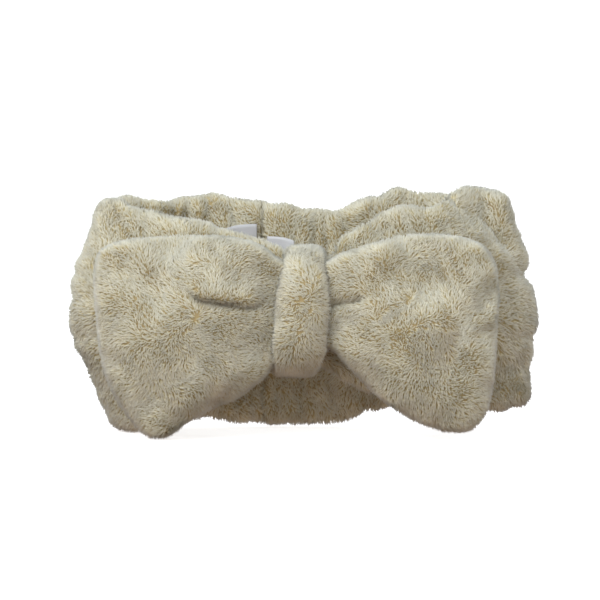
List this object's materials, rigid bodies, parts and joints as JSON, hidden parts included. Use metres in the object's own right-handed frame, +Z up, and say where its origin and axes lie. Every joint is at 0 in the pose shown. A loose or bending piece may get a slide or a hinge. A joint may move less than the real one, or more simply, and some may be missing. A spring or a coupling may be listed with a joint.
{
  "type": "spa headband",
  "caption": "Wide plush fleece spa headband with a big two-lobed bow, elastic at the back, shown standing on its lower edge.",
  "frame": {"origin": "centre of the whole headband at its lower edge, on the surface it stands on", "axes": "+X along the flattened loop towards the right-hand bow lobe, -Y towards the bow, +Z up across the band's width"},
  "size_m": [0.2246, 0.106, 0.118],
  "materials": {
    "fleece": "plush pile",
    "fleece_lining": "plush pile",
    "wadding": "matte",
    "elastic": "woven",
    "satin_label": "satin",
    "thread": "matte"
  },
  "bodies": {
    "front_middle": {"front_middle_outer": "fleece", "front_middle_inner": "fleece_lining", "front_middle_wadding": "wadding", "bow_middle": "fleece", "knot_strip": "fleece", "knot_stitches": "thread"},
    "front_left": {"front_left_outer": "fleece", "front_left_inner": "fleece_lining", "front_left_wadding": "wadding"},
    "front_right": {"front_right_outer": "fleece", "front_right_inner": "fleece_lining", "front_right_wadding": "wadding"},
    "back_left": {"back_left_outer": "fleece", "back_left_inner": "fleece_lining", "elastic_left": "elastic"},
    "back_right": {"back_right_outer": "fleece", "back_right_inner": "fleece_lining", "elastic_right": "elastic"},
    "seam_left": {"seam_left_outer": "fleece", "seam_left_inner": "fleece_lining", "elastic_seam_left": "elastic"},
    "seam_right": {"seam_right_outer": "fleece", "seam_right_inner": "fleece_lining", "elastic_seam_right": "elastic", "seam_stitches": "thread"},
    "bow_left": {"bow_left_front": "fleece", "bow_left_wadding": "wadding", "bow_left_back": "fleece"},
    "bow_right": {"bow_right_front": "fleece", "bow_right_wadding": "wadding", "bow_right_back": "fleece"},
    "label_left": {"label_left": "satin_label"},
    "label_right": {"label_right": "satin_label"}
  },
  "joints": [
    {"name": "loop_open", "type": "hinge", "parent": "front_middle", "child": "front_left", "pos_m": [-0.02751, -0.00989, 0.055], "axis": [0, 0, -1], "range_deg": [0, 30], "stiffness_Nm_per_rad": 0.02},
    {"name": "loop_open_right", "type": "hinge", "parent": "front_middle", "child": "front_right", "pos_m": [0.02751, -0.00989, 0.055], "axis": [0, 0, 1], "range_deg": [0, 30]},
    {"name": "side_fold_left", "type": "hinge", "parent": "front_left", "child": "back_left", "pos_m": [-0.1125, 0.015, 0.055], "axis": [0, 0, 1], "range_deg": [0, 60]},
    {"name": "side_fold_right", "type": "hinge", "parent": "front_right", "child": "back_right", "pos_m": [0.1125, 0.015, 0.055], "axis": [0, 0, -1], "range_deg": [0, 60]},
    {"name": "seam_bend_left", "type": "hinge", "parent": "back_left", "child": "seam_left", "pos_m": [-0.02751, 0.03989, 0.055], "axis": [0, 0, -1], "range_deg": [0, 30]},
    {"name": "seam_bend_right", "type": "hinge", "parent": "back_right", "child": "seam_right", "pos_m": [0.02751, 0.03989, 0.055], "axis": [0, 0, 1], "range_deg": [0, 30]},
    {"name": "bow_left_flex", "type": "hinge", "parent": "front_middle", "child": "bow_left", "pos_m": [-0.0135, -0.053, 0.06], "axis": [0, 0, 1], "range_deg": [0, 35], "stiffness_Nm_per_rad": 0.01},
    {"name": "bow_right_flex", "type": "hinge", "parent": "front_middle", "child": "bow_right", "pos_m": [0.0135, -0.053, 0.06], "axis": [0, 0, -1], "range_deg": [0, 35], "stiffness_Nm_per_rad": 0.01},
    {"name": "label_left_flip", "type": "hinge", "parent": "seam_left", "child": "label_left", "pos_m": [-0.0219, 0.03935, 0.084], "axis": [0, 0, 1], "range_deg": [-15, 60], "stiffness_Nm_per_rad": 0.00001},
    {"name": "label_right_flip", "type": "hinge", "parent": "seam_right", "child": "label_right", "pos_m": [-0.0175, 0.0394, 0.081], "axis": [0, 0, -1], "range_deg": [-8, 60], "stiffness_Nm_per_rad": 0.00001}
  ],
  "couplings": [
    {"joint": "loop_open_right", "follows": "loop_open", "ratio": 1},
    {"joint": "side_fold_left", "follows": "loop_open", "ratio": 2},
    {"joint": "side_fold_right", "follows": "loop_open", "ratio": 2},
    {"joint": "seam_bend_left", "follows": "loop_open", "ratio": 1},
    {"joint": "seam_bend_right", "follows": "loop_open", "ratio": 1}
  ]
}
